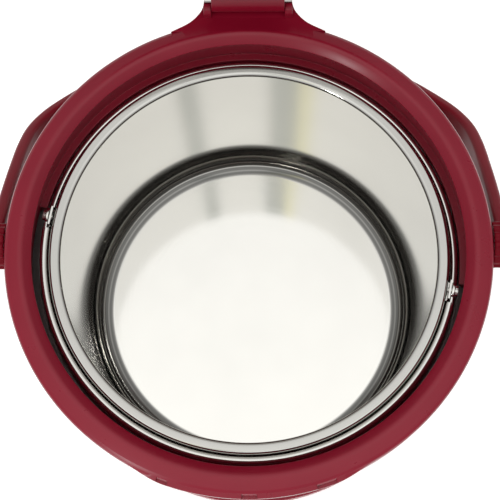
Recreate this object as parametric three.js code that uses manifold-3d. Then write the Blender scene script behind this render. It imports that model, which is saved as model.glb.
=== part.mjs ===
// A vacuum-insulated thermal cooker of about 4.5 litres, lid open and carry handle folded back.
// Millimetres, +Z up. The origin is the centre of the base, where it stands; +Y points to the hinge.
import * as THREE from "three";
import { mergeVertices } from "three/addons/utils/BufferGeometryUtils.js";
import Module from "manifold-3d";

const wasm = await Module();
wasm.setup();

// Driving dimensions.
const GAP = 0.3; // between pieces that touch
const ROUND = 36; // sides of every large ring
const RIM_Z = 190; // top of the inner pot's rim
const POT_R = 100; // inside of the inner pot
const POT_DEPTH = 145;
const POT_WALL = 1;
const POT_FLANGE_R = 106.5;
const POT_CORNER_R = 12;
const POT_TURN = -11; // degrees that the pot stands turned in the vessel
const PIVOT_Z = RIM_Z - 2; // the wire bail's pivots
const WIRE_R = 2;
const WIRE_RING_R = 109.1;
const LINER_R = 104.2; // inside of the vacuum vessel
const SHELL_R = 120; // outside of the vacuum vessel
const SHELL_BOTTOM = 22;
const SHOULDER_Z = 168;
const MOUTH_Z = 182; // top of the vessel's rolled mouth
const COLLAR_R = 127.3;
const COLLAR_EDGE_Z = 203.5;
const RIDGE_R = 118;
const RIDGE_Z = 207.3;
const LIP_R = 113; // foot of the slope inside the ridge
const LIP_Z = 202.2;
const LEDGE_Z = 181;
const LEDGE_R = 116.8;
const WALL_OUTER_R = 118.9; // outside of the collar's inner wall
const SKIRT_INNER_R = WALL_OUTER_R + GAP;
const BAIL_RECESS = [166, 352]; // degrees over which the ledge is open for the pot's bail
const CATCH_R = 129.1; // front bulge that the latch hooks under
const CATCH_Z = [196, 202.4];
const CATCH_ANGLES = [250, 290];
const CATCH_RAMP = 9; // degrees over which the bulge rises
const CATCH_NOTCHES = [
  [250, 251.5],
  [268.5, 272],
  [288.7, 290.2],
];
const BASE_R = 122.6;
const BASE_TOP = 27;
const HINGE_Y = 135.5;
const HINGE_Z = RIM_Z + 21;
const HINGE_PIN_R = 2.3;
const KNUCKLE_R = 6.8;
const KNUCKLE_HALF = 19.7;
const EAR_X = [20, 24];
const EAR_R = 7.6;
const LID_OPEN = 105; // degrees that the lid stands open
const LID_TOP = 239.5;
const PLUG_R = 110;
const PLUG_Z = 193;
const LATCH_Y = -129.6;
const LATCH_Z = 221;
const LATCH_R = [132, 134.6];
const LATCH_PIN_R = 0.9;
const HANDLE_Z = 185; // carry handle's pivots
const HANDLE_Y = 4.8;
const STRAP = [22, 7]; // height and thickness of the carry handle's arms
const BOSS_R = 9; // round each handle screw, on the collar
const HANDLE_DROP = 38; // degrees that the folded handle hangs below level
const HANDLE_REACH = 184;
const HUB_X = [129.1, 141];
const HUB_R = 12.5;
const SCREW_R = 2.5;

const rad = THREE.MathUtils.degToRad;

// Materials.
const paint = (color, roughness, metalness) =>
  new THREE.MeshStandardMaterial({ color, roughness, metalness });
const crimson = paint(0x84343f, 0.32, 0);
const darkCrimson = paint(0x711522, 0.4, 0);
const steel = paint(0xd4d1c8, 0.2, 1);
const brushed = paint(0xc4c2bc, 0.38, 1);
const aluminium = paint(0xc9cbcd, 0.5, 1);
const silicone = paint(0x8d8a86, 0.7, 0);
const rubber = paint(0x2a2728, 0.9, 0);
const foam = paint(0xe8e4da, 1, 0);

// A closed geometry as a manifold-3d solid that faces out.
function solid(geometry) {
  const bare = geometry.clone();
  bare.deleteAttribute("normal");
  bare.deleteAttribute("uv");
  const merged = mergeVertices(bare, 1e-3);
  const points = merged.attributes.position;
  const index = merged.index.array;
  const [a, b, c] = [new THREE.Vector3(), new THREE.Vector3(), new THREE.Vector3()];
  const corners = [];
  let volume = 0;
  for (let i = 0; i < index.length; i += 3) {
    const [p, q, r] = index.slice(i, i + 3);
    if (p === q || q === r || r === p) continue;
    a.fromBufferAttribute(points, p);
    b.fromBufferAttribute(points, q);
    c.fromBufferAttribute(points, r);
    volume += a.dot(b.cross(c));
    corners.push(p, q, r);
  }
  if (volume < 0) corners.reverse();
  return new wasm.Manifold(
    new wasm.Mesh({ numProp: 3, vertProperties: points.array, triVerts: new Uint32Array(corners) }),
  );
}

// The named mesh of a manifold-3d solid.
function piece(name, made, material) {
  const { numProp, vertProperties, triVerts } = made.getMesh();
  const points = new Float32Array((vertProperties.length / numProp) * 3);
  for (let i = 0; i * 3 < points.length; i++) {
    points.set(vertProperties.subarray(i * numProp, i * numProp + 3), i * 3);
  }
  const geometry = new THREE.BufferGeometry();
  geometry.setAttribute("position", new THREE.BufferAttribute(points, 3));
  geometry.setIndex(new THREE.BufferAttribute(triVerts, 1));
  geometry.computeVertexNormals();
  const mesh = new THREE.Mesh(geometry, material);
  mesh.name = name;
  return mesh;
}

// Points [r, z] along an arc, in degrees from +r towards +z.
function arc(r, z, radius, from, to, steps) {
  return Array.from({ length: steps + 1 }, (_, i) => {
    const angle = rad(from + ((to - from) * i) / steps);
    return [r + radius * Math.cos(angle), z + radius * Math.sin(angle)];
  });
}

// A solid of revolution about Z from a profile of [r, z] points, which closes on itself or on the axis.
function turned(profile, sides = ROUND) {
  const closes = profile[0][0] === 0;
  const outline = closes ? profile : [...profile, profile[0]];
  const lathe = new THREE.LatheGeometry(
    outline.map(([r, z]) => new THREE.Vector2(r, z)),
    sides,
  );
  return solid(lathe.rotateX(Math.PI / 2));
}

// A round rod between two points.
function rod(from, to, radius, sides = 16) {
  const [start, end] = [new THREE.Vector3(...from), new THREE.Vector3(...to)];
  const along = end.clone().sub(start);
  const cylinder = new THREE.CylinderGeometry(radius, radius, along.length(), sides);
  const up = new THREE.Vector3(0, 1, 0);
  const turn = new THREE.Quaternion().setFromUnitVectors(up, along.clone().normalize());
  cylinder.applyQuaternion(turn);
  cylinder.translate(...start.add(end).multiplyScalar(0.5));
  return solid(cylinder);
}

function block(x, y, z) {
  const box = new THREE.BoxGeometry(x[1] - x[0], y[1] - y[0], z[1] - z[0]);
  box.translate((x[0] + x[1]) / 2, (y[0] + y[1]) / 2, (z[0] + z[1]) / 2);
  return solid(box);
}

const shapeOf = (points) => new THREE.Shape(points.map(([x, y]) => new THREE.Vector2(x, y)));

// A plan outline of [x, y] points between two heights.
function plate(points, z) {
  const made = new THREE.ExtrudeGeometry(shapeOf(points), { depth: z[1] - z[0], bevelEnabled: false });
  return solid(made.translate(0, 0, z[0]));
}

// A side outline of [y, z] points between two values of x.
function cheek(points, x) {
  const made = new THREE.ExtrudeGeometry(shapeOf(points), { depth: x[1] - x[0], bevelEnabled: false });
  made.rotateZ(Math.PI / 2);
  made.rotateY(Math.PI / 2);
  return solid(made.translate(x[0], 0, 0));
}

// A stretch of ring between two angles, with an outer radius that may change with the angle.
function sector(inner, outer, angles, z, steps = 12) {
  const radiusAt = typeof outer === "function" ? outer : () => outer;
  const at = (radius, angle) => [radius * Math.cos(rad(angle)), radius * Math.sin(rad(angle))];
  const step = (angles[1] - angles[0]) / steps;
  const sweep = Array.from({ length: steps + 1 }, (_, i) => angles[0] + step * i);
  const outside = sweep.map((angle) => at(radiusAt(angle), angle));
  const inside = sweep.reverse().map((angle) => at(inner, angle));
  return plate([...outside, ...inside], z);
}

// A section of [x, y] points carried along a curve.
function swept(section, curve, steps) {
  const options = { steps, extrudePath: curve, bevelEnabled: false };
  return solid(new THREE.ExtrudeGeometry(shapeOf(section), options));
}

const circle = (radius, sides) => arc(0, 0, radius, 0, 360 - 360 / sides, sides - 1);

function roundedBox(width, height, corner) {
  const [x, y] = [width / 2 - corner, height / 2 - corner];
  return [
    ...arc(x, y, corner, 0, 90, 1),
    ...arc(-x, y, corner, 90, 180, 1),
    ...arc(-x, -y, corner, 180, 270, 1),
    ...arc(x, -y, corner, 270, 360, 1),
  ];
}

const polar = (radius, degrees) => [radius * Math.cos(rad(degrees)), radius * Math.sin(rad(degrees))];
const SIDES = [
  ["right", 1],
  ["left", -1],
];

// Vacuum vessel: an outer shell and an inner liner with the vacuum between them.
function outerShell() {
  const wall = 1;
  return turned([
    [0, SHELL_BOTTOM],
    ...arc(SHELL_R - 6, SHELL_BOTTOM + 6, 6, -90, 0, 3),
    [SHELL_R, SHOULDER_Z],
    [112, 177],
    [110.6, 177.6],
    [109.4, 177.1],
    [111.2, 176],
    [SHELL_R - wall, SHOULDER_Z - 0.5],
    ...arc(SHELL_R - 6, SHELL_BOTTOM + 6, 6 - wall, 0, -90, 3),
    [0, SHELL_BOTTOM + wall],
  ]);
}

function innerLiner() {
  const floor = RIM_Z - POT_DEPTH - 7.3;
  const wall = 0.9;
  return turned([
    [0, floor - wall],
    ...arc(LINER_R - 12, floor + 12, 12 + wall, -90, 0, 4),
    [LINER_R + wall, 168.3],
    [108.4, MOUTH_Z - 4],
    [111.4, MOUTH_Z - 3.7],
    [111.9, MOUTH_Z - 2],
    [111.2, MOUTH_Z - 0.6],
    [109.7, MOUTH_Z],
    [108.2, MOUTH_Z - 0.8],
    [107.4, MOUTH_Z - 3.4],
    [LINER_R, 168],
    ...arc(LINER_R - 12, floor + 12, 12, 0, -90, 4),
    [0, floor],
  ]);
}

// Base: a moulded cover under the vessel, its rubber pads and a cushion ring.
const PAD_PLACES = [45, 135, 225, 315].map((angle) => polar(92, angle));
const PAD_R = 10;
const PAD_DEPTH = 1.6;

function baseCover() {
  const floor = 3;
  const cover = turned([
    [0, 0],
    [112, 0],
    ...arc(BASE_R - 9, 9, 9, -75, 0, 3),
    [BASE_R, BASE_TOP],
    [SHELL_R + 0.4, BASE_TOP],
    [SHELL_R + 0.4, SHELL_BOTTOM + 4],
    [117.4, SHELL_BOTTOM - GAP],
    [116.6, 8],
    [112, floor],
    [0, floor],
  ]);
  return PAD_PLACES.reduce(
    (left, [x, y]) => left.subtract(rod([x, y, -1], [x, y, PAD_DEPTH + GAP], PAD_R + GAP, 24)),
    cover,
  );
}

// Collar: the moulding that holds the hinge, the catch and the handle's pivots.
function catchRadius(angle) {
  const [from, to] = CATCH_ANGLES;
  const past = Math.max(from - angle, angle - to, 0) / CATCH_RAMP;
  return CATCH_R - (CATCH_R - COLLAR_R + 0.6) * THREE.MathUtils.smoothstep(past, 0, 1);
}

function hingeNeck() {
  const flare = [
    [42, 119.9],
    [39.1, 121.3],
    [34.2, 123.8],
    [31, 125.9],
    [28, 128.8],
    [25.3, 132.6],
    [24, 137],
  ];
  const curve = new THREE.SplineCurve(flare.map(([x, y]) => new THREE.Vector2(x, y)));
  const right = curve.getPoints(9).map(({ x, y }) => [x, y]);
  const left = right.map(([x, y]) => [-x, y]).reverse();
  const neck = plate([...right, [24, 144], [-24, 144], ...left], [186, COLLAR_EDGE_Z]);
  // Each ear is a cradle, open above the pin and lower in front of it.
  const outline = [
    [127.9, 188],
    [127.9, HINGE_Z - 3],
    [129.4, HINGE_Z - 0.9],
    [131.8, HINGE_Z],
    [138.1, HINGE_Z],
    ...arc(HINGE_Y, HINGE_Z, EAR_R, 70, 15, 5),
    [143.8, 188],
  ];
  const ears = SIDES.map(([, side]) => cheek(outline, side > 0 ? EAR_X : [-EAR_X[1], -EAR_X[0]]));
  const bore = rod([-30, HINGE_Y, HINGE_Z], [30, HINGE_Y, HINGE_Z], HINGE_PIN_R + GAP);
  return neck.add(ears[0]).add(ears[1]).subtract(bore);
}

// The collar is made as two rings, its inner wall and its skirt, so that each is a simple shape.
function collarWall() {
  const ring = turned([
    [LIP_R, LIP_Z],
    [LIP_R + 0.4, LIP_Z - 1.8],
    [LEDGE_R, LEDGE_Z],
    [112.9, LEDGE_Z],
    [112.9, 177.8],
    [WALL_OUTER_R, 171.05],
    [WALL_OUTER_R, RIDGE_Z - 0.42],
    [RIDGE_R, RIDGE_Z],
    [RIDGE_R - 0.5, RIDGE_Z - 0.3],
  ]);
  return ring.subtract(sector(110, LEDGE_R + 0.1, BAIL_RECESS, [160, LEDGE_Z + 0.6], 31));
}

function collar() {
  const ring = turned([
    [SKIRT_INNER_R, RIDGE_Z - 0.57],
    [SKIRT_INNER_R, 200.06],
    [124.8, 197.4],
    [124.8, 182],
    [123.6, 172],
    [SHELL_R + 0.8, 165],
    [122.9, 165],
    [126, 171.5],
    [COLLAR_R, 182],
    [COLLAR_R, 200.6],
    [126.6, 202.7],
    [125.2, COLLAR_EDGE_Z + 0.4],
  ]);
  const span = [CATCH_ANGLES[0] - CATCH_RAMP, CATCH_ANGLES[1] + CATCH_RAMP];
  let made = ring.add(sector(125.6, catchRadius, span, CATCH_Z, 26)).add(hingeNeck());
  for (const [, side] of SIDES) {
    const at = (x) => [side * x, HANDLE_Y, HANDLE_Z];
    made = made.add(rod(at(SKIRT_INNER_R), at(127.9), BOSS_R));
    made = made.subtract(rod(at(SKIRT_INNER_R - 1), at(130), SCREW_R + GAP));
  }
  for (const notch of CATCH_NOTCHES) {
    made = made.subtract(sector(COLLAR_R + 0.1, 135, notch, [199.5, 205], 2));
  }
  return made;
}

// A strip that lies along the sloping foot of the collar's inner wall, which runs 0.747 out for 0.664 down.
function collarSeal() {
  const clearOf = ([r, z], distance) => [r + 0.747 * distance, z + 0.664 * distance];
  const [foot, top] = [[118.2, 170], [113.4, 175.4]];
  return turned([clearOf(foot, GAP), clearOf(foot, 0.9), clearOf(top, 0.9), clearOf(top, GAP)]);
}

function vessel() {
  const group = new THREE.Group();
  group.add(
    piece("base_cover", baseCover(), crimson),
    piece("base_cushion", turned([[80, 3.4], [105, 3.4], [105, 21.6], [80, 21.6]], 24), foam),
    piece("vacuum_seal_cap", turned([[0, 17], [9, 17], [10, 18], [10, 21.6], [0, 21.6]], 24), rubber),
    piece("getter_pill", turned([[0, 33.4], [6, 33.4], [6, 36.4], [0, 36.4]], 20), aluminium),
    piece("outer_shell", outerShell(), brushed),
    piece("inner_liner", innerLiner(), steel),
    piece("collar", collar(), crimson),
    piece("collar_wall", collarWall(), crimson),
    piece("collar_seal", collarSeal(), silicone),
    piece("hinge_pin", rod([-23.8, HINGE_Y, HINGE_Z], [23.8, HINGE_Y, HINGE_Z], HINGE_PIN_R), steel),
  );
  PAD_PLACES.forEach(([x, y], i) => {
    group.add(piece("base_pad_" + (i + 1), rod([x, y, 0], [x, y, PAD_DEPTH], PAD_R, 24), rubber));
  });
  for (const [name, side] of SIDES) {
    const at = (x) => [side * x, HANDLE_Y, HANDLE_Z];
    const screw = rod(at(120.5), at(136.6), SCREW_R).add(rod(at(136.3), at(138.3), 5));
    const washer = rod(at(128.2), at(128.8), 8).subtract(rod(at(127), at(130), 3.1));
    group.add(piece("handle_screw_" + name, screw, steel), piece("handle_washer_" + name, washer, steel));
  }
  return group;
}

// Lid, drawn closed; the group below turns it open about the hinge.
const LID_SCREWS = [45, 135, 225, 315].map((angle) => polar(120.3, angle));

function lidShell() {
  const dome = turned([
    [124.6, 205],
    [127.1, 205],
    [127.3, 213],
    ...arc(115.3, 219.5, 12, 10, 68, 4),
    [100, 235.2],
    [60, 238.6],
    [0, LID_TOP],
    [0, LID_TOP - 2.8],
    [60, 235.8],
    [99.5, 232.6],
    ...arc(115, 219.3, 9.6, 70, 5, 4),
    [124.6, 213],
  ]);
  const inside = turned([[0, 190], [124.9, 190], [124.9, 213], [118, 228], [99, 233], [0, 237.5]]);
  const across = [-KNUCKLE_HALF, KNUCKLE_HALF];
  const arm = block(across, [118, HINGE_Y], [207.2, HINGE_Z + KNUCKLE_R]).subtract(inside);
  const [axisLeft, axisRight] = across.map((x) => [x, HINGE_Y, HINGE_Z]);
  let made = dome.add(arm).add(rod(axisLeft, axisRight, KNUCKLE_R, 24));
  for (const [x, y] of LID_SCREWS) {
    made = made.add(rod([x, y, 210.8], [x, y, 226.5], 3.4, 12));
    made = made.subtract(rod([x, y, 209], [x, y, 221], 1.8, 10));
  }
  for (const [, side] of SIDES) {
    const lug = [[-125.5, 216.5], [-125.5, 225.5], ...arc(LATCH_Y, LATCH_Z, 2.3, 60, 300, 8)];
    made = made.add(cheek(lug, side > 0 ? [14, 17] : [-17, -14]));
  }
  made = made.subtract(rod([-25, HINGE_Y, HINGE_Z], [25, HINGE_Y, HINGE_Z], HINGE_PIN_R + GAP));
  return made.subtract(rod([-20, LATCH_Y, LATCH_Z], [20, LATCH_Y, LATCH_Z], LATCH_PIN_R + GAP, 12));
}

function lidLiner() {
  const cover = turned([
    [0, PLUG_Z],
    ...arc(PLUG_R - 4, PLUG_Z + 4, 4, -90, 0, 3),
    [PLUG_R, 209],
    [124, 209],
    [124, 210.5],
    [PLUG_R - 1.5, 210.5],
    [PLUG_R - 1.5, PLUG_Z + 4.5],
    [PLUG_R - 4.5, PLUG_Z + 1.5],
    [0, PLUG_Z + 1.5],
  ]);
  return LID_SCREWS.reduce(
    (left, [x, y]) => left.subtract(rod([x, y, 205], [x, y, 212], 1.8, 10)),
    cover,
  );
}

function latchLever() {
  const [inner, outer] = LATCH_R;
  const angles = [250.5, 289.5];
  const front = sector(inner, outer, angles, [191.6, 226.5], 13);
  const hook = sector(127.8, inner + 0.4, [254, 286], [191.6, CATCH_Z[0] - 0.6], 11);
  const lip = sector(outer - 0.4, outer + 2.6, [262, 278], [191.6, 195], 6);
  let made = front.add(hook).add(lip);
  const lug = [...arc(LATCH_Y, LATCH_Z, 2.2, 90, -90, 6), [-132.4, 218.8], [-132.4, 223.2]];
  for (const x of [[10, 13.6], [-13.6, -10]]) made = made.add(cheek(lug, x));
  for (const x of [[13.7, 17.4], [-17.4, -13.7]]) {
    made = made.subtract(rod([x[0], LATCH_Y, LATCH_Z], [x[1], LATCH_Y, LATCH_Z], 2.7, 12));
  }
  return made.subtract(rod([-20, LATCH_Y, LATCH_Z], [20, LATCH_Y, LATCH_Z], LATCH_PIN_R + GAP, 12));
}

class Helix extends THREE.Curve {
  constructor(radius, length, turns) {
    super();
    Object.assign(this, { radius, length, turns });
  }

  getPoint(t, target = new THREE.Vector3()) {
    const angle = 2 * Math.PI * this.turns * t;
    const x = this.length * (t - 0.5);
    const [y, z] = [this.radius * Math.cos(angle), this.radius * Math.sin(angle)];
    return target.set(x, LATCH_Y + y, LATCH_Z + z);
  }
}

function lid() {
  const closed = new THREE.Group();
  const pinEnd = (x) => [x, LATCH_Y, LATCH_Z];
  const gasket = [
    [PLUG_R + 0.4, LIP_Z + 0.6],
    [LIP_R - 0.4, LIP_Z + 0.6],
    [RIDGE_R - 1, RIDGE_Z + 0.6],
    [RIDGE_R - 1, 208.7],
    [PLUG_R + 0.4, 208.7],
  ];
  const filling = [[0, 195], [104.8, 195], [107.6, 198.6], [107.6, 207], [0, 207]];
  closed.add(
    piece("lid_shell", lidShell(), crimson),
    piece("lid_liner", lidLiner(), brushed),
    piece("lid_gasket", turned(gasket), silicone),
    piece("lid_foam", turned(filling), foam),
    piece("latch_lever", latchLever(), darkCrimson),
    piece("latch_pin", rod(pinEnd(-17.4), pinEnd(17.4), LATCH_PIN_R, 12), steel),
    piece("latch_spring", swept(circle(0.28, 5), new Helix(1.5, 14, 5), 40), steel),
  );
  LID_SCREWS.forEach(([x, y], i) => {
    const shank = rod([x, y, 208.5], [x, y, 219], 1.5, 10);
    const screw = rod([x, y, RIDGE_Z + 0.5], [x, y, 208.7], 2.4, 16).add(shank);
    closed.add(piece("lid_screw_" + (i + 1), screw, steel));
  });
  closed.position.set(0, -HINGE_Y, -HINGE_Z);
  const open = new THREE.Group();
  open.add(closed);
  open.rotation.x = rad(-LID_OPEN);
  open.position.set(0, HINGE_Y, HINGE_Z);
  return open;
}

// Carry handle, drawn level and pointing back along +Y; the group drops it by HANDLE_DROP about its pivots.
function fluted(radius, depth, flutes) {
  const radiusAt = (i) => radius - (i % 4 < 2 ? 0 : depth);
  return Array.from({ length: flutes * 4 }, (_, i) => polar(radiusAt(i), (90 * i) / flutes));
}

function carryHandle() {
  const half = [
    [134.4, 5],
    [134.4, 36],
    [133.7, 63],
    [132.4, 87],
    [129.6, 104],
    [123, 120.5],
    [111.5, 138],
    [97, 156],
    [80, 171],
    [64, 180.5],
  ];
  const across = [50, 25, 0, -25, -50].map((x) => [x, HANDLE_REACH]);
  const mirrored = half.map(([x, y]) => [-x, y]).reverse();
  const route = [...half, ...across, ...mirrored].map(([x, y]) => new THREE.Vector3(x, y, 0));
  const section = roundedBox(...STRAP, 2.4);
  let made = swept(section, new THREE.CatmullRomCurve3(route, false, "centripetal"), 44);
  for (const [, side] of SIDES) {
    const hub = new THREE.ExtrudeGeometry(shapeOf(fluted(HUB_R, 1.1, 14)), {
      depth: HUB_X[1] - HUB_X[0],
      bevelEnabled: false,
    });
    hub.rotateY((side * Math.PI) / 2);
    hub.translate(side * HUB_X[0], 0, 0);
    made = made.add(solid(hub));
    made = made.subtract(rod([side * 125, 0, 0], [side * 145, 0, 0], SCREW_R + GAP));
    made = made.subtract(rod([side * 136, 0, 0], [side * 145, 0, 0], 6));
  }
  return made;
}

function handleGrip() {
  const straight = (half) =>
    new THREE.LineCurve3(
      new THREE.Vector3(-half, HANDLE_REACH, 0),
      new THREE.Vector3(half, HANDLE_REACH, 0),
    );
  const [height, thickness] = STRAP;
  const sleeve = swept(roundedBox(height + 4.2, thickness + 4.2, 4), straight(46), 1);
  return sleeve.subtract(swept(roundedBox(height + 0.8, thickness + 0.8, 2.4), straight(48), 1));
}

function handle() {
  const group = new THREE.Group();
  group.add(piece("carry_handle", carryHandle(), crimson), piece("handle_grip", handleGrip(), rubber));
  for (const [name, side] of SIDES) {
    const cap = rod([side * 141.3, 0, 0], [side * 142.8, 0, 0], 10.4, 24);
    const plug = rod([side * 138.9, 0, 0], [side * 141.5, 0, 0], 5.6);
    group.add(piece("hub_cap_" + name, cap.add(plug), darkCrimson));
  }
  group.rotation.x = rad(-HANDLE_DROP);
  group.position.set(0, HANDLE_Y, HANDLE_Z);
  return group;
}

// Inner pot, drawn with its bail pivots on the X axis; the group turns it by POT_TURN.
function potBody() {
  const floor = RIM_Z - POT_DEPTH;
  const corner = [POT_R - POT_CORNER_R, floor + POT_CORNER_R];
  return turned([
    [0, floor - POT_WALL],
    ...arc(...corner, POT_CORNER_R + POT_WALL, -90, 0, 4),
    [POT_R + POT_WALL, RIM_Z - 4.6],
    [104.2, RIM_Z - 4.2],
    ...arc(POT_FLANGE_R - 2, RIM_Z - 2, 2, -60, 90, 4),
    [102.4, RIM_Z],
    ...arc(POT_R + 2.2, RIM_Z - 2.2, 2.2, 110, 180, 2),
    ...arc(...corner, POT_CORNER_R, 0, -90, 4),
    [0, floor],
  ]);
}

function potEar(side) {
  const along = (x) => (side > 0 ? x : [-x[1], -x[0]]);
  const tab = block(along([POT_R + 1.3, POT_R + 2.3]), [-8, 8], [173, 183.8]);
  const tongue = block(along([POT_R + 1.3, 108.2]), [-5, 5], [183, 183.9]);
  const upright = block(along([107.2, 108.2]), [-5, 5], [183, PIVOT_Z + 3]);
  const hole = rod([side * 105, 0, PIVOT_Z], [side * 110, 0, PIVOT_Z], 1.8, 12);
  return tab.add(tongue).add(upright).subtract(hole);
}

function pot() {
  const group = new THREE.Group();
  const floor = RIM_Z - POT_DEPTH;
  const underside = floor - POT_WALL - GAP;
  const core = [
    [0, floor - 5.7],
    [83, floor - 5.7],
    [84.6, floor - 4.6],
    [84.6, underside],
    [0, underside],
  ];
  const plateRing = [
    [0, floor - 7],
    [84, floor - 7],
    [86, floor - 5],
    [86, underside],
    [85, underside],
    [85, floor - 5],
    [83.6, floor - 6],
    [0, floor - 6],
  ];
  group.add(
    piece("pot_body", potBody(), steel),
    piece("pot_core_disc", turned(core), aluminium),
    piece("pot_base_plate", turned(plateRing), brushed),
  );
  for (const [name, side] of SIDES) {
    const at = (x) => [side * x, 0, PIVOT_Z];
    const rivet = rod(at(106.9), at(110.8), 1.5, 12).add(rod(at(110.5), at(111.8), 3, 16));
    group.add(piece("pot_ear_" + name, potEar(side), steel), piece("ear_rivet_" + name, rivet, steel));
  }
  group.rotation.z = rad(POT_TURN);
  return group;
}

// The wire bail lies round the front of the pot, with a flattened eye on each pivot.
class Bow extends THREE.Curve {
  getPoint(t, target = new THREE.Vector3()) {
    const [x, y] = polar(WIRE_RING_R, -3.6 - 172.8 * t);
    return target.set(x, y, PIVOT_Z);
  }
}

function bail() {
  const [inner, outer] = [108.6, 110.1];
  let wire = swept(circle(WIRE_R, 8), new Bow(), 44);
  for (const [, side] of SIDES) {
    const at = (x) => [side * x, 0, PIVOT_Z];
    const across = side > 0 ? [inner, outer] : [-outer, -inner];
    const neck = block(across, [-8.4, 0], [PIVOT_Z - 1.9, PIVOT_Z + 1.9]);
    wire = wire.add(rod(at(inner), at(outer), 4.3, 20)).add(neck);
    wire = wire.subtract(rod(at(105), at(113), 1.8, 12));
  }
  const mesh = piece("pot_bail", wire, steel);
  mesh.rotation.z = rad(POT_TURN);
  return mesh;
}

const cooker = new THREE.Group();
cooker.add(vessel(), lid(), handle(), pot(), bail());

export default cooker;
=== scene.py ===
"""Looks for the thermal cooker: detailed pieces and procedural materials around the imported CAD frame."""

import math

import bmesh
import bpy
from mathutils import Matrix, Vector


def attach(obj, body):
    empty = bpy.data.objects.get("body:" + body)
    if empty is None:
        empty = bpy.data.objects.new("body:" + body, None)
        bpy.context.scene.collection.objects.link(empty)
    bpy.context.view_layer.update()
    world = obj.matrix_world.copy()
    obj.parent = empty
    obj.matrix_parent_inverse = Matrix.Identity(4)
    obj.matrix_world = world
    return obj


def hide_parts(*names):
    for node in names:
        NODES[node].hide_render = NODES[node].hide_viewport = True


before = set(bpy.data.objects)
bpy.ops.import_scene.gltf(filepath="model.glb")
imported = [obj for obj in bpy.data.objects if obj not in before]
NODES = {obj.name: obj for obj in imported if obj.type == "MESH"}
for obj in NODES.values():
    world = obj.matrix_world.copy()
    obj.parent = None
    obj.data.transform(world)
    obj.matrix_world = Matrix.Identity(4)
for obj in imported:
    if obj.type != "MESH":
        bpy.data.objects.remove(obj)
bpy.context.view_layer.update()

MM = 0.001
SIDES = (1, -1)
RIM_Z = 190.0
POT_DEPTH = 145.0
FLOOR = RIM_Z - POT_DEPTH
LINER_GAP = 7.3
HINGE_Y, HINGE_Z = 135.5, 211.0
HINGE = Vector((0, HINGE_Y, HINGE_Z))
HINGE_BORE = 2.6
LID_OPEN = 105.0
HANDLE_Z = 185.0
HANDLE_Y = 4.8
HANDLE_REACH = 184.0
HANDLE_DROP = 38.0
POT_TURN = -11.0
SCREW_BORE = 2.8
PIVOT_Z = 188.0
LID_TURN = (
    Matrix.Translation(HINGE)
    @ Matrix.Rotation(math.radians(-LID_OPEN), 4, "X")
    @ Matrix.Translation(-HINGE)
)
HANDLE_TURN = Matrix.Translation((0, HANDLE_Y, HANDLE_Z)) @ Matrix.Rotation(
    math.radians(-HANDLE_DROP), 4, "X"
)
POT_TURN_M = Matrix.Rotation(math.radians(POT_TURN), 4, "Z")


# ---------- materials ----------
POT_REFLECTION_BANDS = (0.044, 0.060)  # metres up the pot between which its corner carries painted reflection bands


def new_material(name):
    mat = bpy.data.materials.new(name)
    mat.use_nodes = True
    tree = mat.node_tree
    return mat, tree, tree.nodes["Principled BSDF"]


def node(tree, kind, **sockets):
    made = tree.nodes.new(kind)
    for key, value in sockets.items():
        if key in made.inputs:
            made.inputs[key].default_value = value
        else:
            setattr(made, key, value)
    return made


def noise(tree, scale, detail=4.0):
    coords = tree.nodes.new("ShaderNodeTexCoord")
    texture = node(tree, "ShaderNodeTexNoise", Scale=scale, Detail=detail)
    tree.links.new(coords.outputs["Object"], texture.inputs["Vector"])
    return texture.outputs["Fac"]


def ramp(tree, source, low, high):
    made = tree.nodes.new("ShaderNodeValToRGB")
    for element, at, value in zip(made.color_ramp.elements, (0.3, 0.7), (low, high)):
        element.position = at
        element.color = (*value, 1) if isinstance(value, tuple) else (value, value, value, 1)
    tree.links.new(source, made.inputs["Fac"])
    return made.outputs["Color"]


def bump(tree, height, strength, distance):
    made = node(tree, "ShaderNodeBump", Strength=strength, Distance=distance)
    tree.links.new(height, made.inputs["Height"])
    return made.outputs["Normal"]


def rings(tree, scale):
    """Fine circles about the Z axis: noise read along the radius only."""
    coords = tree.nodes.new("ShaderNodeTexCoord")
    split = tree.nodes.new("ShaderNodeSeparateXYZ")
    tree.links.new(coords.outputs["Object"], split.inputs["Vector"])
    flat = tree.nodes.new("ShaderNodeCombineXYZ")
    tree.links.new(split.outputs["X"], flat.inputs["X"])
    tree.links.new(split.outputs["Y"], flat.inputs["Y"])
    length = node(tree, "ShaderNodeVectorMath", operation="LENGTH")
    tree.links.new(flat.outputs["Vector"], length.inputs[0])
    radial = tree.nodes.new("ShaderNodeCombineXYZ")
    tree.links.new(length.outputs["Value"], radial.inputs["X"])
    tree.links.new(split.outputs["Z"], radial.inputs["Z"])
    texture = node(tree, "ShaderNodeTexNoise", Scale=scale, Detail=3.0, Roughness=0.6)
    tree.links.new(radial.outputs["Vector"], texture.inputs["Vector"])
    return texture.outputs["Fac"]


def plastic(name, dark, light, rough, specular=0.38):
    mat, tree, shader = new_material(name)
    tree.links.new(ramp(tree, noise(tree, 34.0), dark, light), shader.inputs["Base Color"])
    tree.links.new(ramp(tree, noise(tree, 90.0, 6.0), rough - 0.02, rough + 0.03), shader.inputs["Roughness"])
    tree.links.new(bump(tree, noise(tree, 2600.0, 1.0), 0.006, 0.00005), shader.inputs["Normal"])
    shader.inputs["Specular IOR Level"].default_value = specular
    return mat


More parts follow.
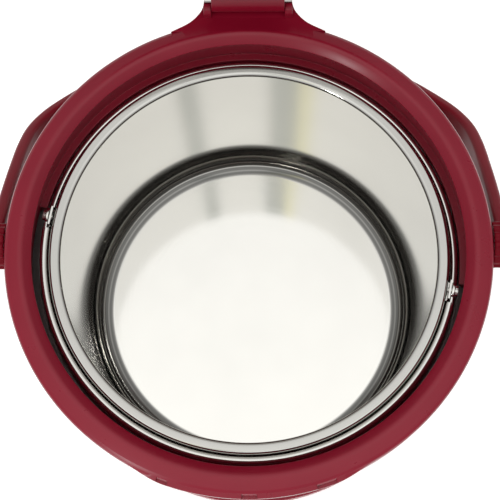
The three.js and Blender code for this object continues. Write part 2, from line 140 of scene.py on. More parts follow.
def metal(name, dark, light, rough, spread, ring_scale, strength, anisotropic=0.0):
    mat, tree, shader = new_material(name)
    shader.inputs["Metallic"].default_value = 1.0
    fine = rings(tree, ring_scale)
    tree.links.new(ramp(tree, noise(tree, 22.0), dark, light), shader.inputs["Base Color"])
    tree.links.new(ramp(tree, fine, rough, rough + spread), shader.inputs["Roughness"])
    tree.links.new(bump(tree, fine, strength, 0.00008), shader.inputs["Normal"])
    shader.inputs["Anisotropic"].default_value = anisotropic
    return mat


def pot_metal():
    """Painted reflection and shade in the base colour, told apart by height alone, inside and outside: a
    bright floor, a dark corner band with lighter lines, and a grey wall; the dark corner is partly a real
    spun finish and partly painted reflection.
    """
    mat, tree, shader = new_material("pot_steel")
    coords = tree.nodes.new("ShaderNodeTexCoord")
    split = tree.nodes.new("ShaderNodeSeparateXYZ")
    tree.links.new(coords.outputs["Object"], split.inputs["Vector"])
    height = node(tree, "ShaderNodeMapRange", **{"From Min": POT_REFLECTION_BANDS[0], "From Max": POT_REFLECTION_BANDS[1]})
    tree.links.new(split.outputs["Z"], height.inputs["Value"])
    painted_reflection_ramp = tree.nodes.new("ShaderNodeValToRGB")
    spread = painted_reflection_ramp.color_ramp.elements
    # painted reflection by height: bright floor, dark corner band with lighter rings, then the wall's
    # brightness
    stops = [
        (0.000, 0.86), (0.0635, 0.86), (0.0665, 0.34), (0.072, 0.15), (0.088, 0.13), (0.104, 0.24),
        (0.120, 0.13), (0.165, 0.14), (0.185, 0.44), (0.205, 0.15), (0.270, 0.18), (0.292, 0.66),
        (0.316, 0.20), (0.395, 0.24), (0.420, 0.62), (0.446, 0.26), (0.560, 0.43), (1.000, 0.52),
    ]
    while len(spread) < len(stops):
        spread.new(0.5)
    for element, (at, value) in zip(spread, stops):
        element.position, element.color = at, (value, value * 0.985, value * 0.94, 1)
    tree.links.new(height.outputs["Result"], painted_reflection_ramp.inputs["Fac"])
    tint = node(tree, "ShaderNodeMix", data_type="RGBA", blend_type="MULTIPLY")
    tint.inputs["Factor"].default_value = 1.0
    tree.links.new(painted_reflection_ramp.outputs["Color"], tint.inputs["A"])
    tree.links.new(ramp(tree, noise(tree, 22.0), (0.96, 0.96, 0.96), (1.0, 1.0, 1.0)), tint.inputs["B"])
    tree.links.new(tint.outputs["Result"], shader.inputs["Base Color"])
    fine = rings(tree, 1500.0)
    tree.links.new(ramp(tree, fine, 0.09, 0.13), shader.inputs["Roughness"])
    tree.links.new(bump(tree, fine, 0.012, 0.00005), shader.inputs["Normal"])
    shader.inputs["Metallic"].default_value = 1.0
    shader.inputs["Anisotropic"].default_value = 0.2
    return mat


def soft(name, dark, light, rough, scale, strength):
    mat, tree, shader = new_material(name)
    grain = noise(tree, scale, 5.0)
    tree.links.new(ramp(tree, grain, dark, light), shader.inputs["Base Color"])
    tree.links.new(ramp(tree, noise(tree, 60.0), rough - 0.06, rough + 0.06), shader.inputs["Roughness"])
    tree.links.new(bump(tree, grain, strength, 0.0003), shader.inputs["Normal"])
    return mat


CRIMSON = plastic("crimson_plastic", (0.218, 0.0020, 0.0165), (0.236, 0.0030, 0.0190), 0.29)
# A darker, less shiny copy of the collar's crimson for the handle arms: painted shade, as the handle is the
# same plastic.
CRIMSON_SHADED_COPY = plastic("crimson_handle_painted_shade", (0.172, 0.0010, 0.0095), (0.186, 0.0016, 0.0110), 0.34, 0.10)
DEEP = plastic("dark_crimson_plastic", (0.095, 0.004, 0.010), (0.115, 0.006, 0.013), 0.33)
STEEL = metal("polished_steel", (0.66, 0.65, 0.62), (0.70, 0.69, 0.66), 0.10, 0.05, 900.0, 0.04)
POT_STEEL = pot_metal()
BRUSHED = metal("brushed_shell", (0.40, 0.39, 0.375), (0.425, 0.415, 0.40), 0.26, 0.14, 1800.0, 0.30, 0.5)
ALUMINIUM = metal("cast_aluminium", (0.60, 0.61, 0.62), (0.68, 0.69, 0.70), 0.42, 0.12, 500.0, 0.15)
SILICONE = soft("grey_silicone", (0.24, 0.235, 0.23), (0.29, 0.285, 0.28), 0.62, 900.0, 0.12)
RUBBER = soft("dark_rubber", (0.016, 0.015, 0.015), (0.026, 0.024, 0.024), 0.74, 1300.0, 0.25)
BOARD = soft("cushion_board", (0.60, 0.56, 0.48), (0.72, 0.68, 0.60), 0.92, 400.0, 0.40)


# ---------- mesh tools, all in millimetres ----------
def mesh_object(name, verts, faces):
    mesh = bpy.data.meshes.new(name)
    mesh.from_pydata([tuple(v) for v in verts], [], faces)
    mesh.update()
    obj = bpy.data.objects.new(name, mesh)
    bpy.context.scene.collection.objects.link(obj)
    bm = bmesh.new()
    bm.from_mesh(mesh)
    bmesh.ops.remove_doubles(bm, verts=bm.verts, dist=1e-4)
    bmesh.ops.recalc_face_normals(bm, faces=bm.faces)
    bm.to_mesh(mesh)
    bm.free()
    return obj


def arc(r, z, radius, start, end, steps):
    out = []
    for i in range(steps + 1):
        angle = math.radians(start + (end - start) * i / steps)
        out.append((r + radius * math.cos(angle), z + radius * math.sin(angle)))
    return out


def filleted(profile, radius, closed=True, steps=4):
    """The profile with each clear corner rounded; a point may give its own radius as a third number."""
    out = []
    count = len(profile)
    for i, point in enumerate(profile):
        here = Vector(point[:2])
        wanted = point[2] if len(point) > 2 else radius
        if (not closed and i in (0, count - 1)) or wanted <= 0:
            out.append(tuple(here))
            continue
        before = Vector(profile[i - 1][:2]) - here
        after = Vector(profile[(i + 1) % count][:2]) - here
        turn = math.pi - before.angle(after)
        if turn < math.radians(8):
            out.append(tuple(here))
            continue
        reach = min(wanted * math.tan(turn / 2), 0.42 * before.length, 0.42 * after.length)
        first, last = here + before.normalized() * reach, here + after.normalized() * reach
        for k in range(steps + 1):
            t = k / steps
            out.append(tuple((1 - t) ** 2 * first + 2 * t * (1 - t) * here + t * t * last))
    return out


def spun(name, profile, steps=256, warp=None, angles=None):
    """A solid of revolution about Z; warp(angle, r, z) gives a changed (r, z)."""
    angles = angles or [360 * i / steps for i in range(steps)]
    verts, faces, rows = [], [], []
    for angle in angles:
        c, s = math.cos(math.radians(angle)), math.sin(math.radians(angle))
        row = []
        for r, z in profile:
            if r < 1e-6:
                row.append(("pole", z))
                continue
            if warp:
                r, z = warp(angle, r, z)
            row.append(len(verts))
            verts.append((r * c, r * s, z))
        rows.append(row)
    poles = {}
    for row in rows:
        for i, entry in enumerate(row):
            if isinstance(entry, tuple):
                if entry not in poles:
                    poles[entry] = len(verts)
                    verts.append((0, 0, entry[1]))
                row[i] = poles[entry]
    for j, row in enumerate(rows):
        other = rows[(j + 1) % len(rows)]
        for i in range(len(profile)):
            k = (i + 1) % len(profile)
            corners = []
            for v in (row[i], row[k], other[k], other[i]):
                if v not in corners:
                    corners.append(v)
            if len(corners) > 2:
                faces.append(corners)
    return mesh_object(name, verts, faces)


def extruded(name, outline, low, high, place, edge=0.0):
    """An outline of 2D points between two depths; place(a, b, depth) puts a point in space."""
    bm = bmesh.new()
    bottom = [bm.verts.new(place(a, b, low)) for a, b in outline]
    top = [bm.verts.new(place(a, b, high)) for a, b in outline]
    bm.faces.new(bottom)
    bm.faces.new(top[::-1])
    for i in range(len(outline)):
        k = (i + 1) % len(outline)
        bm.faces.new((bottom[k], bottom[i], top[i], top[k]))
    bmesh.ops.recalc_face_normals(bm, faces=bm.faces)
    if edge:
        caps = [e for e in bm.edges if e.calc_face_angle(0) > math.radians(35)]
        bmesh.ops.bevel(
            bm, geom=caps, offset=edge, segments=3, profile=0.5, affect="EDGES", clamp_overlap=True
        )
    mesh = bpy.data.meshes.new(name)
    bm.to_mesh(mesh)
    bm.free()
    obj = bpy.data.objects.new(name, mesh)
    bpy.context.scene.collection.objects.link(obj)
    return obj


def rod(name, start, end, radius, sides=40, edge=0.0):
    start, end = Vector(start), Vector(end)
    length = (end - start).length
    profile = filleted([(0, 0), (radius, 0), (radius, length), (0, length)], edge, closed=False, steps=3)
    obj = spun(name, profile, sides)
    turn = Vector((0, 0, 1)).rotation_difference(end - start).to_matrix().to_4x4()
    obj.data.transform(Matrix.Translation(start) @ turn)
    return obj


def across(name, start, end, y, z, radius, sides=40, edge=0.0):
    """A rod along X."""
    return rod(name, (start, y, z), (end, y, z), radius, sides, edge)


def upright(name, place, low, high, radius, sides):
    return rod(name, (*place, low), (*place, high), radius, sides)


def around(radius):
    """Four places round the axis, halfway between X and Y."""
    turns = [math.radians(angle) for angle in (45, 135, 225, 315)]
    return [(radius * math.cos(turn), radius * math.sin(turn)) for turn in turns]


def level(a, b, depth):
    return a, b, depth


def sideways(a, b, depth):
    return depth, a, b


def block(name, x, y, z, edge=0.0):
    outline = [(x[0], y[0]), (x[1], y[0]), (x[1], y[1]), (x[0], y[1])]
    return extruded(name, outline, z[0], z[1], level, edge)


def joined(*tools):
    return [("UNION", tool) for tool in tools]


def cut(*tools):
    return [("DIFFERENCE", tool) for tool in tools]


def combined(base, tools):
    """base joined with or cut by each (operation, object), and the tools removed."""
    for operation, tool in tools:
        mod = base.modifiers.new("cut", "BOOLEAN")
        mod.operation, mod.solver, mod.object = operation, "MANIFOLD", tool
    bpy.context.view_layer.update()
    depsgraph = bpy.context.evaluated_depsgraph_get()
    mesh = bpy.data.meshes.new_from_object(base.evaluated_get(depsgraph))
    base.modifiers.clear()
    base.data = mesh
    for _, tool in tools:
        bpy.data.objects.remove(tool)
    return base


def catmull(points, per_span):
    """Centripetal Catmull-Rom through points, as three.js draws it."""
    pts = [Vector(p) for p in points]
    pts = [2 * pts[0] - pts[1]] + pts + [2 * pts[-1] - pts[-2]]
    out = []
    for a, b, c, d in zip(pts, pts[1:], pts[2:], pts[3:]):
        t0 = 0.0
        t1 = t0 + (b - a).length ** 0.5
        t2 = t1 + (c - b).length ** 0.5
        t3 = t2 + (d - c).length ** 0.5
        for k in range(per_span):
            t = t1 + (t2 - t1) * k / per_span
            ab = (t1 - t) / (t1 - t0) * a + (t - t0) / (t1 - t0) * b
            bc = (t2 - t) / (t2 - t1) * b + (t - t1) / (t2 - t1) * c
            cd = (t3 - t) / (t3 - t2) * c + (t - t2) / (t3 - t2) * d
            abc = (t2 - t) / (t2 - t0) * ab + (t - t0) / (t2 - t0) * bc
            bcd = (t3 - t) / (t3 - t1) * bc + (t - t1) / (t3 - t1) * cd
            out.append((t2 - t) / (t2 - t1) * abc + (t - t1) / (t2 - t1) * bcd)
    out.append(pts[-2].copy())
    return out


def swept(name, path, section, shape=None):
    """section [(up, across)] along a path in a level plane, capped; shape(i, n) scales the section."""
    verts, faces = [], []
    up = Vector((0, 0, 1))
    n = len(section)
    for i, point in enumerate(path):
        tangent = (path[min(i + 1, len(path) - 1)] - path[max(i - 1, 0)]).normalized()
        across = up.cross(tangent)
        k = shape(i, len(path)) if shape else 1.0
        verts += [point + up * (a * k) + across * (b * k) for a, b in section]
    for i in range(len(path) - 1):
        for j in range(n):
            k = (j + 1) % n
            faces.append((i * n + j, i * n + k, (i + 1) * n + k, (i + 1) * n + j))
    faces += [list(range(n))[::-1], [(len(path) - 1) * n + j for j in range(n)]]
    return mesh_object(name, verts, faces)


def rounded_box(width, height, corner, steps=5):
    x, y = width / 2 - corner, height / 2 - corner
    return (
        arc(x, y, corner, 0, 90, steps)
        + arc(-x, y, corner, 90, 180, steps)
        + arc(-x, -y, corner, 180, 270, steps)
        + arc(x, -y, corner, 270, 360, steps)
    )


def finished(obj, material, body, nodes, turn=None, sharp=32.0):
    """Puts a piece made in millimetres into the frame with its finish and its body."""
    if turn is not None:
        obj.data.transform(turn)
    obj.data.transform(Matrix.Scale(MM, 4))
    obj.data.materials.clear()
    obj.data.materials.append(material)
    obj.data.shade_smooth()
    obj.data.set_sharp_from_angle(angle=math.radians(sharp))
    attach(obj, body)
    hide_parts(*nodes)


def smoothstep(t):
    t = min(max(t, 0.0), 1.0)
    return t * t * (3 - 2 * t)


# ---------- vessel ----------
CATCH = (250.0, 290.0)
CATCH_RAMP = 9.0
CATCH_SWELL = 1.75
CATCH_Z = (195.5, 201.7)
CATCH_NOTCH_Z = 199.5
CATCH_NOTCHES = ((249.0, 251.6), (268.5, 272.0), (285.6, 290.2))
BAIL_RECESS = (166.0, 352.0)
LEDGE_R, LEDGE_TOP = 116.8, 182.2
LIP_R, LIP_Z = 113.0, 202.2
RIDGE_R, RIDGE_Z = 118.0, 207.3
COLLAR_R = 127.3


def collar_warp(angle, r, z):
    """The catch's swelling with its three notches, and the ledge left open round the front."""
    if r > COLLAR_R - 0.4 and CATCH_Z[0] < z < CATCH_Z[1]:
        past = max(CATCH[0] - angle, angle - CATCH[1], 0) / CATCH_RAMP
        swell = CATCH_SWELL * (1 - smoothstep(past))
        if z > CATCH_NOTCH_Z and any(a < angle < b for a, b in CATCH_NOTCHES):
            swell = 0.0
        r += swell
    if BAIL_RECESS[0] < angle < BAIL_RECESS[1] and r < LEDGE_R + 0.1 and z < LEDGE_TOP:
        r = LEDGE_R + 0.1
    return r, z


def collar_angles():
    marks = [a for pair in (*CATCH_NOTCHES, BAIL_RECESS) for a in pair]
    near = [m + d for m in marks for d in (-0.06, 0.06)]
    even = [i * 1.0 for i in range(360)]
    return sorted(near + [a for a in even if all(abs(a - m) > 0.2 for m in marks)])


def neck():
    """The hinge's neck behind the collar, with its two ears and the bore for the pin."""
    flare = [(42, 119.9), (39.1, 121.3), (34.2, 123.8), (31, 125.9), (28, 128.8), (25.3, 132.6), (24, 137)]
    right = [(p.x, p.y) for p in catmull([(x, y, 0) for x, y in flare], 4)]
    outline = [*right, (24, 144), (-24, 144), *[(-x, y) for x, y in reversed(right)]]
    body = extruded("neck", outline, 186, 203.95, level, 0.6)
    ear_outline = [
        (127.9, 188), (127.9, 208), (129.4, 210.1), (131.8, 211), (138.1, 211),
        *arc(HINGE_Y, HINGE_Z, 7.6, 70, 15, 14), (143.8, 188),
    ]
    ears = []
    for side in SIDES:
        low, high = sorted((side * 20, side * 24))
        ears.append(extruded("ear", ear_outline, low, high, sideways, 0.5))
    bore = across("bore", -30, 30, HINGE_Y, HINGE_Z, HINGE_BORE)
    return combined(body, joined(*ears) + cut(bore))


def make_collar():
    profile = [
        (LIP_R, LIP_Z, 0.6),
        (LIP_R + 0.4, LIP_Z - 1.8, 0.5),
        (LEDGE_R, 181, 0.25),
        (112.9, 181, 0.3),
        (112.9, 177.8, 0.3),
        (118.9, 171.05, 0.4),
        (118.9, 200.2, 0.5),
        (124.8, 197.4, 0.5),
        (124.8, 182, 2),
        (123.6, 172, 2),
        (120.8, 165, 0.2),
        (122.9, 165, 0.4),
        (126, 171.5, 4),
        (COLLAR_R, 182, 4),
        (COLLAR_R, 195.3, 0),
        (COLLAR_R, 196, 0),
        (COLLAR_R, 199.4, 0),
        (COLLAR_R, 199.6, 0),
        (COLLAR_R, 201.0, 0),
        (COLLAR_R - 0.02, 201.7, 0),
        (126.6, 202.9, 0.6),
        (125.2, 203.9, 1.0),
        (RIDGE_R, RIDGE_Z, 3.2),
    ]
    ring = spun("collar_moulding", filleted(profile, 0.5), warp=collar_warp, angles=collar_angles())
    body = neck()
    bosses = [across("boss", side * 118, side * 127.9, HANDLE_Y, HANDLE_Z, 9) for side in SIDES]
    combined(ring, joined(body, *bosses))
    holes = [
        across("hole", side * 119.2, side * 131, HANDLE_Y, HANDLE_Z, SCREW_BORE) for side in SIDES
    ]
    return combined(ring, cut(*holes))


finished(make_collar(), CRIMSON, "vessel", ("collar", "collar_wall"), sharp=28)

liner_floor = FLOOR - LINER_GAP
liner = filleted(
    [
        (0, liner_floor - 0.9, 0),
        *[(*p, 0) for p in arc(92.2, liner_floor + 12, 12.9, -90, 0, 20)],
        (105.1, 168.3, 2),
        (108.4, 178, 0.6),
        *[(*p, 0) for p in arc(109.65, 179.8, 2.2, -58, 178, 26)],
        (104.2, 168, 2),
        *[(*p, 0) for p in arc(92.2, liner_floor + 12, 12, 0, -90, 20)],
        (0, liner_floor, 0),
    ],
    0,
    closed=False,
)
finished(spun("vessel_liner", liner), STEEL, "vessel", ("inner_liner",), sharp=50)

shell = filleted(
    [
        (0, 22, 0),
        *[(*p, 0) for p in arc(114, 28, 6, -90, 0, 14)],
        (120, 168, 2.5),
        (112, 177, 0.5),
        (110.6, 177.6, 0.3),
        (109.4, 177.1, 0.2),
        (111.2, 176, 0.5),
        (119, 167.5, 2),
        *[(*p, 0) for p in arc(114, 28, 5, 0, -90, 14)],
        (0, 23, 0),
    ],
    0,
    closed=False,
)
finished(spun("vessel_shell", shell), BRUSHED, "vessel", ("outer_shell",), sharp=50)

base = spun(
    "base_moulding",
    filleted(
        [
            (0, 0, 0),
            (112, 0, 0.8),
            *[(*p, 0) for p in arc(113.6, 9, 9, -75, 0, 14)],
            (122.6, 19.6, 0),
            (122.2, 20.0, 0),
            (122.2, 20.8, 0),
            (122.6, 21.2, 0),
            (122.6, 27, 0.8),
            (120.4, 27, 0.3),
            (120.4, 26, 0.3),
            (117.4, 21.7, 0.3),
            (116.6, 8, 2),
            (112, 3, 2),
            (0, 3, 0),
        ],
        0,
        closed=False,
    ),
)
combined(base, cut(*[upright("recess", place, -1, 1.9, 10.3, 64) for place in around(92)]))
finished(base, CRIMSON, "vessel", ("base_cover",), sharp=30)


# ---------- pot ----------
pot = filleted(
    [
        (0, FLOOR - 1, 0),
        *[(*p, 0) for p in arc(88, FLOOR + 12, 13, -90, 0, 24)],
        (101, 185.4, 1),
        (104.2, 185.8, 0.8),
        *[(*p, 0) for p in arc(104.5, 188, 2, -60, 90, 16)],
        *[(*p, 0) for p in arc(102.2, 187.8, 2.2, 92, 180, 16)],
        *[(*p, 0) for p in arc(88, FLOOR + 12, 12, 0, -90, 24)],
        (0, FLOOR, 0),
    ],
    0,
    closed=False,
)
finished(spun("pot_shell", pot, 288), POT_STEEL, "pot", ("pot_body",), sharp=50)

WIRE_R = 109.1
EYE_X = (108.6, 110.1)
wire_path = [
    Vector((WIRE_R * math.cos(math.radians(a)), WIRE_R * math.sin(math.radians(a)), PIVOT_Z))
    for a in [-3.6 - 172.8 * i / 150 for i in range(151)]
]
wire = swept("bail_wire", wire_path, arc(0, 0, 2, 0, 345, 23))
eyes = []
for side in SIDES:
    start, end = (side * x for x in EYE_X)
    eyes.append(across("eye", start, end, 0, PIVOT_Z, 4.3, 40, 0.3))
    eyes.append(block("flat", sorted((start, end)), (-8.4, 0), (PIVOT_Z - 1.9, PIVOT_Z + 1.9), 0.3))
combined(wire, joined(*eyes))
combined(wire, cut(*[across("pin", side * 105, side * 113, 0, PIVOT_Z, 1.8, 24) for side in SIDES]))
finished(wire, STEEL, "bail", ("pot_bail",), POT_TURN_M, sharp=40)


# ---------- carry handle ----------
half = [
    (134.4, 5), (134.4, 36), (133.7, 63), (132.4, 87), (129.6, 104),
    (123, 120.5), (111.5, 138), (97, 156), (80, 171), (64, 180.5),
]
crossbar = [(x, HANDLE_REACH) for x in (50, 25, 0, -25, -50)]
route = [*half, *crossbar, *[(-x, y) for x, y in reversed(half)]]
handle = swept("handle_bow", catmull([(x, y, 0) for x, y in route], 10), rounded_box(22, 6.96, 2.4))
FLUTES, FLUTE_DEPTH, FLUTED_FROM_R = 14, 1.1, 11.6
HUB_R, HUB_WIDTH, HUB_X, HUB_END = 12.5, 11.9, 129.1, 145


def hub_warp(angle, r, z):
    wave = 0.5 - 0.5 * math.cos(math.radians(angle * FLUTES))
    return (r - FLUTE_DEPTH * smoothstep(wave) if r > FLUTED_FROM_R else r), z


def hub(side):
    outline = [(0, 0), (HUB_R, 0, 0.7), (HUB_R, HUB_WIDTH, 1.0), (0, HUB_WIDTH)]
    made = spun("hub", filleted(outline, 0.6, closed=False), 252, warp=hub_warp)
    turn = Matrix.Rotation(side * math.pi / 2, 4, "Y")
    made.data.transform(Matrix.Translation((side * HUB_X, 0, 0)) @ turn)
    return made


combined(handle, joined(*[hub(side) for side in SIDES]))
bores = []
for side in SIDES:
    bores.append(across("bore", side * 125, side * HUB_END, 0, 0, SCREW_BORE))
    bores.append(across("well", side * 136, side * HUB_END, 0, 0, 6))
combined(handle, cut(*bores))
# The handle arms wear the darker copy of the crimson: painted shade.
finished(handle, CRIMSON_SHADED_COPY, "handle", ("carry_handle",), HANDLE_TURN, sharp=34)


def rib(i, n):
    """Full width on the grip's ribs, slightly less between them and at the plain ends."""
    return 1.0 if 3 < i < n - 4 and i % 6 < 4 else 0.975


grip_path = [Vector((-46 + 92 * i / 96, HANDLE_REACH, 0)) for i in range(97)]
grip = swept("grip_sleeve", grip_path, rounded_box(26.2, 11.2, 4), rib)
core = swept("core", [Vector((x, HANDLE_REACH, 0)) for x in (-48, 48)], rounded_box(22.8, 7.8, 2.4))
combined(grip, cut(core))
finished(grip, RUBBER, "handle", ("handle_grip",), HANDLE_TURN, sharp=30)


# ---------- lid ----------
LID_SCREWS = around(120.3)
LID_SCREW_BORE = 1.8
KNUCKLE_X = 19.7
LATCH = (-129.6, 221.0)


def make_lid():
    dome = spun(
        "lid_moulding",
        filleted(
            [
                (124.6, 205, 0.3),
                (127.1, 205, 0.6),
                (127.3, 213, 2),
                *[(*p, 0) for p in arc(115.3, 219.5, 12, 10, 68, 20)],
                (100, 235.2, 12),
                (60, 238.6, 20),
                (0, 239.5, 0),
                (0, 236.7, 0),
                (60, 235.8, 10),
                (99.5, 232.6, 6),
                *[(*p, 0) for p in arc(115, 219.3, 9.6, 70, 5, 16)],
                (124.6, 213, 1),
            ],
            0,
        ),
    )
    inside = spun("inside", [(0, 190), (124.9, 190), (124.9, 213), (118, 228), (99, 233), (0, 237.5)], 128)
    arm = block("arm", (-KNUCKLE_X, KNUCKLE_X), (118, HINGE_Y), (207.2, 217.8), 0.8)
    combined(arm, cut(inside))
    tools = [arm, across("knuckle", -KNUCKLE_X, KNUCKLE_X, HINGE_Y, HINGE_Z, 6.8, 72, 0.5)]
    for side in SIDES:
        lug = [(-125.5, 216.5), (-125.5, 225.5), *arc(*LATCH, 2.3, 60, 300, 16)]
        low, high = sorted((side * 14, side * 17))
        tools.append(extruded("lug", lug, low, high, sideways, 0.3))
    tools += [upright("post", place, 210.8, 226.5, 3.4, 28) for place in LID_SCREWS]
    combined(dome, joined(*tools))
    holes = [
        across("bore", -25, 25, HINGE_Y, HINGE_Z, HINGE_BORE),
        across("pin", -20, 20, *LATCH, 1.2, 24),
    ]
    holes += [upright("hole", place, 209, 221, LID_SCREW_BORE, 24) for place in LID_SCREWS]
    return combined(dome, cut(*holes))


finished(make_lid(), CRIMSON, "lid", ("lid_shell",), LID_TURN, sharp=30)

cover = spun(
    "lid_cover",
    filleted(
        [
            (0, 193, 0),
            (60, 193, 2),
            (64, 194, 3),
            (100, 194, 3),
            *[(*p, 0) for p in arc(106, 197.6, 4, -70, 0, 12)],
            (110, 209, 0.8),
            (124, 209, 0.4),
            (124, 210.5, 0.4),
            (108.5, 210.5, 0.5),
            (108.5, 197.9, 2),
            (105, 194.9, 1),
            (62, 194.9, 1),
            (58, 194.3, 1),
            (0, 194.3, 0),
        ],
        0,
        closed=False,
    ),
)
combined(cover, cut(*[upright("hole", place, 205, 212, LID_SCREW_BORE, 24) for place in LID_SCREWS]))
finished(cover, BRUSHED, "lid", ("lid_liner",), LID_TURN, sharp=30)

gasket = [
    (110.4, LIP_Z + 0.6), (LIP_R - 0.4, LIP_Z + 0.6),
    (RIDGE_R - 1, RIDGE_Z + 0.6), (RIDGE_R - 1, 208.7), (110.4, 208.7),
]
finished(spun("lid_seal", filleted(gasket, 0.5)), SILICONE, "lid", ("lid_gasket",), LID_TURN, sharp=40)


# ---------- CAD nodes that stay ----------
KEPT = {
    "base_cushion": BOARD,
    "vacuum_seal_cap": RUBBER,
    "getter_pill": ALUMINIUM,
    "collar_seal": SILICONE,
    "hinge_pin": STEEL,
    "handle_screw_right": STEEL,
    "handle_screw_left": STEEL,
    "handle_washer_right": STEEL,
    "handle_washer_left": STEEL,
    "lid_foam": BOARD,
    "latch_pin": STEEL,
    "latch_spring": STEEL,
    "latch_lever": DEEP,
    "hub_cap_right": DEEP,
    "hub_cap_left": DEEP,
    "pot_core_disc": ALUMINIUM,
    "pot_base_plate": BRUSHED,
    "pot_ear_right": STEEL,
    "pot_ear_left": STEEL,
    "ear_rivet_right": STEEL,
    "ear_rivet_left": STEEL,
    **{f"base_pad_{i}": RUBBER for i in (1, 2, 3, 4)},
    **{f"lid_screw_{i}": STEEL for i in (1, 2, 3, 4)},
}
EDGE = {"latch_lever": 0.5, "latch_spring": 0.0, "collar_seal": 0.1, "hinge_pin": 0.4}
for name, material in KEPT.items():
    obj = NODES[name]
    if not obj.data.materials:
        obj.data.materials.append(material)
    for entry in obj.material_slots:
        entry.material = material
    width = EDGE.get(name, 0.2)
    if width:
        mod = obj.modifiers.new("edge", "BEVEL")
        mod.width, mod.segments, mod.limit_method = width * MM, 3, "ANGLE"
        mod.angle_limit, mod.harden_normals = math.radians(40), True


# ---------- floor, light and camera ----------
FLOOR_SIZE, FLOOR_DROP, FLOOR_GLOW = 40, 0.0005, 0.42
KEY_PLACE, KEY_TARGET = Vector((-0.60, -0.84, 0.60)), Vector((0.054, 0.104, 0.206))
KEY_SIZE, KEY_POWER = 0.12, 1.7
SKY_STRENGTH = 1.5
FRAME_PX, SENSOR_MM = 500, 36
CAMERA_TILT, CAMERA_AZIMUTH, CAMERA_ROLL = 14.14, 3.37, -3.47
CAMERA_DISTANCE, FOCAL_PX = 658.4, 1243.6


def make_floor():
    bpy.ops.mesh.primitive_plane_add(size=FLOOR_SIZE, location=(0, 0, -FLOOR_DROP))
    floor = bpy.context.object
    floor.name = "studio_floor"
    mat, tree, shader = new_material("studio_floor")
    tree.links.new(ramp(tree, noise(tree, 3.0), (0.93,) * 3, (0.95,) * 3), shader.inputs["Base Color"])
    shader.inputs["Roughness"].default_value = 0.9
    shader.inputs["Emission Color"].default_value = (1, 1, 1, 1)
    shader.inputs["Emission Strength"].default_value = FLOOR_GLOW
    floor.data.materials.append(mat)


make_floor()


def make_key_light():
    data = bpy.data.lights.new("key_small", "AREA")
    data.shape, data.size, data.energy = "DISK", KEY_SIZE, KEY_POWER
    light = bpy.data.objects.new("key_small", data)
    bpy.context.scene.collection.objects.link(light)
    light.location = KEY_PLACE
    light.rotation_euler = (KEY_TARGET - KEY_PLACE).to_track_quat("-Z", "Y").to_euler()


make_key_light()


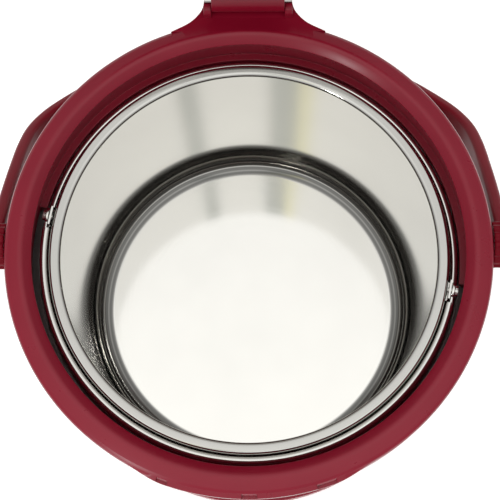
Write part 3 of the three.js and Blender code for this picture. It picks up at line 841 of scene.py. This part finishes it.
def make_world():
    """A soft sky, brightest overhead and towards the front, with two dim patches and a warm one."""
    world = bpy.data.worlds.new("studio")
    world.use_nodes = True
    tree = world.node_tree

    def math_node(operation, a, b=None, c=None):
        made = node(tree, "ShaderNodeMath", operation=operation)
        for socket, value in zip(made.inputs, (a, b, c)):
            if isinstance(value, (int, float)):
                socket.default_value = value
            elif value is not None:
                tree.links.new(value, socket)
        return made.outputs["Value"]

    def gradient(source, stops):
        made = tree.nodes.new("ShaderNodeValToRGB")
        while len(made.color_ramp.elements) < len(stops):
            made.color_ramp.elements.new(0.5)
        for element, (at, color) in zip(made.color_ramp.elements, stops):
            element.position, element.color = at, (*color, 1)
        tree.links.new(source, made.inputs["Fac"])
        return made.outputs["Color"]

    def multiplied(first, second, factor=1.0):
        made = node(tree, "ShaderNodeMix", data_type="RGBA", blend_type="MULTIPLY")
        if isinstance(factor, float):
            made.inputs["Factor"].default_value = factor
        else:
            tree.links.new(factor, made.inputs["Factor"])
        tree.links.new(first, made.inputs["A"])
        tree.links.new(second, made.inputs["B"])
        return made.outputs["Result"]

    coords = tree.nodes.new("ShaderNodeTexCoord")
    split = tree.nodes.new("ShaderNodeSeparateXYZ")
    tree.links.new(coords.outputs["Generated"], split.inputs["Vector"])
    x, y, z = (split.outputs[axis] for axis in "XYZ")
    height = gradient(
        z, [(0.0, (0.36,) * 3), (0.35, (0.40,) * 3), (0.72, (0.82, 0.82, 0.80)), (0.9, (1, 1, 0.985))]
    )
    depth = gradient(
        math_node("MULTIPLY_ADD", y, 0.5, 0.5), [(0.30, (1,) * 3), (0.52, (0.84,) * 3), (0.64, (0.72,) * 3)]
    )
    bearing = math_node("ARCTAN2", x, math_node("MULTIPLY", y, -1.0))
    turn = math_node("MULTIPLY_ADD", bearing, 0.5 / math.pi, 0.5)
    clear, dim, warm = (1, 1, 1), (0.60, 0.62, 0.61), (1, 0.97, 0.72)

    def at(degrees):
        return 0.5 + degrees / 360

    flags = gradient(
        turn,
        [
            (at(-35), clear), (at(-32), warm), (at(-28), warm),
            (at(-25), dim), (at(-14), dim), (at(-10), clear),
            (at(22), clear), (at(25), dim), (at(32), dim), (at(35), clear),
        ],
    )
    high = math_node("SMOOTH_MIN", math_node("MULTIPLY_ADD", z, 14.0, -11.4), 1.0, 0.1)
    reach = math_node("MAXIMUM", high, 0.0)
    sky = multiplied(multiplied(height, depth), flags, reach)
    tree.links.new(sky, tree.nodes["Background"].inputs["Color"])
    tree.nodes["Background"].inputs["Strength"].default_value = SKY_STRENGTH
    bpy.context.scene.world = world


make_world()


def make_camera():
    tilt, azimuth, roll = (math.radians(a) for a in (CAMERA_TILT, CAMERA_AZIMUTH, CAMERA_ROLL))
    back = Vector(
        (math.sin(azimuth) * math.sin(tilt), -math.cos(azimuth) * math.sin(tilt), math.cos(tilt))
    )
    right = (-back).cross(Vector((0, 0, 1))).normalized()
    up = right.cross(-back)
    c, s = math.cos(roll), math.sin(roll)
    right, up = c * right + s * up, -s * right + c * up
    data = bpy.data.cameras.new("camera")
    data.sensor_width = SENSOR_MM
    data.lens = FOCAL_PX / FRAME_PX * SENSOR_MM
    data.shift_x, data.shift_y = 0.00304, 0.00412
    data.clip_start, data.clip_end = 0.01, 50
    camera = bpy.data.objects.new("camera", data)
    bpy.context.scene.collection.objects.link(camera)
    place = (Vector((0, 0, RIM_Z)) + CAMERA_DISTANCE * back) * MM
    camera.matrix_world = Matrix(
        (
            (right.x, up.x, back.x, place.x),
            (right.y, up.y, back.y, place.y),
            (right.z, up.z, back.z, place.z),
            (0, 0, 0, 1),
        )
    )
    bpy.context.scene.camera = camera


make_camera()
bpy.context.scene.view_settings.view_transform = "Standard"

bpy.context.view_layer.update()
